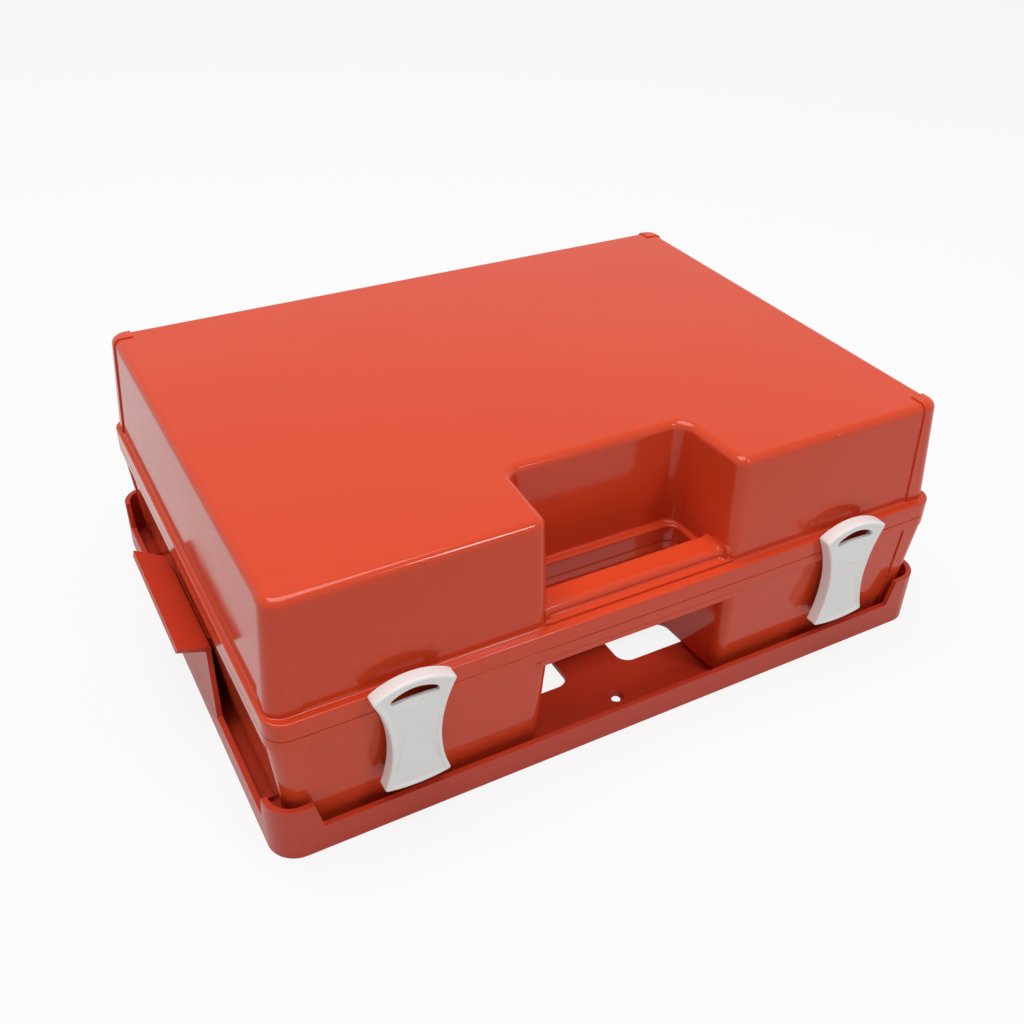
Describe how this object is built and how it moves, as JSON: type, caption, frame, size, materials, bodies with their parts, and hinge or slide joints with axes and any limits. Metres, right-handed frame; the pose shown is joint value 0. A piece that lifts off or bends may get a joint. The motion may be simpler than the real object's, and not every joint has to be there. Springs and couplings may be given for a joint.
{
  "type": "first aid case",
  "caption": "Hard plastic first aid case with front latches, recessed handle, hinged lid, inner dividers and a wall bracket with spring clips.",
  "frame": {"origin": "the middle of the wall bracket's back face", "axes": "+X along the long side to the right, +Y from the latches to the hinges, +Z out of the wall bracket to the lid's top"},
  "size_m": [0.433, 0.314, 0.1488],
  "materials": {
    "case": "smooth gloss",
    "bracket": "satin",
    "latch": "satin",
    "seal": "matt",
    "pin": "plain turned",
    "divider": "satin",
    "cover": "clear"
  },
  "bodies": {
    "bracket": {"wall_bracket": "bracket"},
    "clip_left": {"bracket_clip_left": "bracket"},
    "clip_right": {"bracket_clip_right": "bracket"},
    "base": {"base_shell": "case", "lid_seal": "seal", "hinge_pin_left": "pin", "hinge_pin_right": "pin", "latch_pin_left": "pin", "latch_pin_right": "pin", "base_divider_left": "divider", "base_divider_right": "divider", "base_divider_middle": "divider"},
    "lid": {"lid_shell": "case", "lid_cover": "cover", "lid_divider_left": "divider", "lid_divider_right": "divider", "lid_catch_screws": "pin"},
    "latch_left": {"latch_left": "latch"},
    "latch_right": {"latch_right": "latch"},
    "catch_left": {"lid_catch_left": "latch"},
    "catch_right": {"lid_catch_right": "latch"}
  },
  "joints": [
    {"name": "case_lift", "type": "slide", "parent": "bracket", "child": "base", "axis": [0, 0, 1], "range_m": [0, 0.07]},
    {"name": "lid_hinge", "type": "hinge", "parent": "base", "child": "lid", "pos_m": [0, 0.1532, 0.0765], "axis": [-1, 0, 0], "range_deg": [0, 90]},
    {"name": "latch_left_turn", "type": "hinge", "parent": "base", "child": "latch_left", "pos_m": [-0.1325, -0.151, 0.0303], "axis": [1, 0, 0], "range_deg": [0, 100]},
    {"name": "latch_right_turn", "type": "hinge", "parent": "base", "child": "latch_right", "pos_m": [0.1325, -0.151, 0.0303], "axis": [1, 0, 0], "range_deg": [0, 100]},
    {"name": "clip_left_bend", "type": "hinge", "parent": "bracket", "child": "clip_left", "pos_m": [-0.2025, 0, 0.012], "axis": [0, -1, 0], "range_deg": [0, 6], "stiffness_Nm_per_rad": 10},
    {"name": "clip_right_bend", "type": "hinge", "parent": "bracket", "child": "clip_right", "pos_m": [0.2025, 0, 0.012], "axis": [0, 1, 0], "range_deg": [0, 6], "stiffness_Nm_per_rad": 10},
    {"name": "catch_left_turn", "type": "hinge", "parent": "lid", "child": "catch_left", "pos_m": [-0.12, -0.1315, 0.07805], "axis": [0, 0, -1], "range_deg": [0, 90]},
    {"name": "catch_right_turn", "type": "hinge", "parent": "lid", "child": "catch_right", "pos_m": [0.12, -0.1315, 0.07805], "axis": [0, 0, 1], "range_deg": [0, 90]}
  ]
}
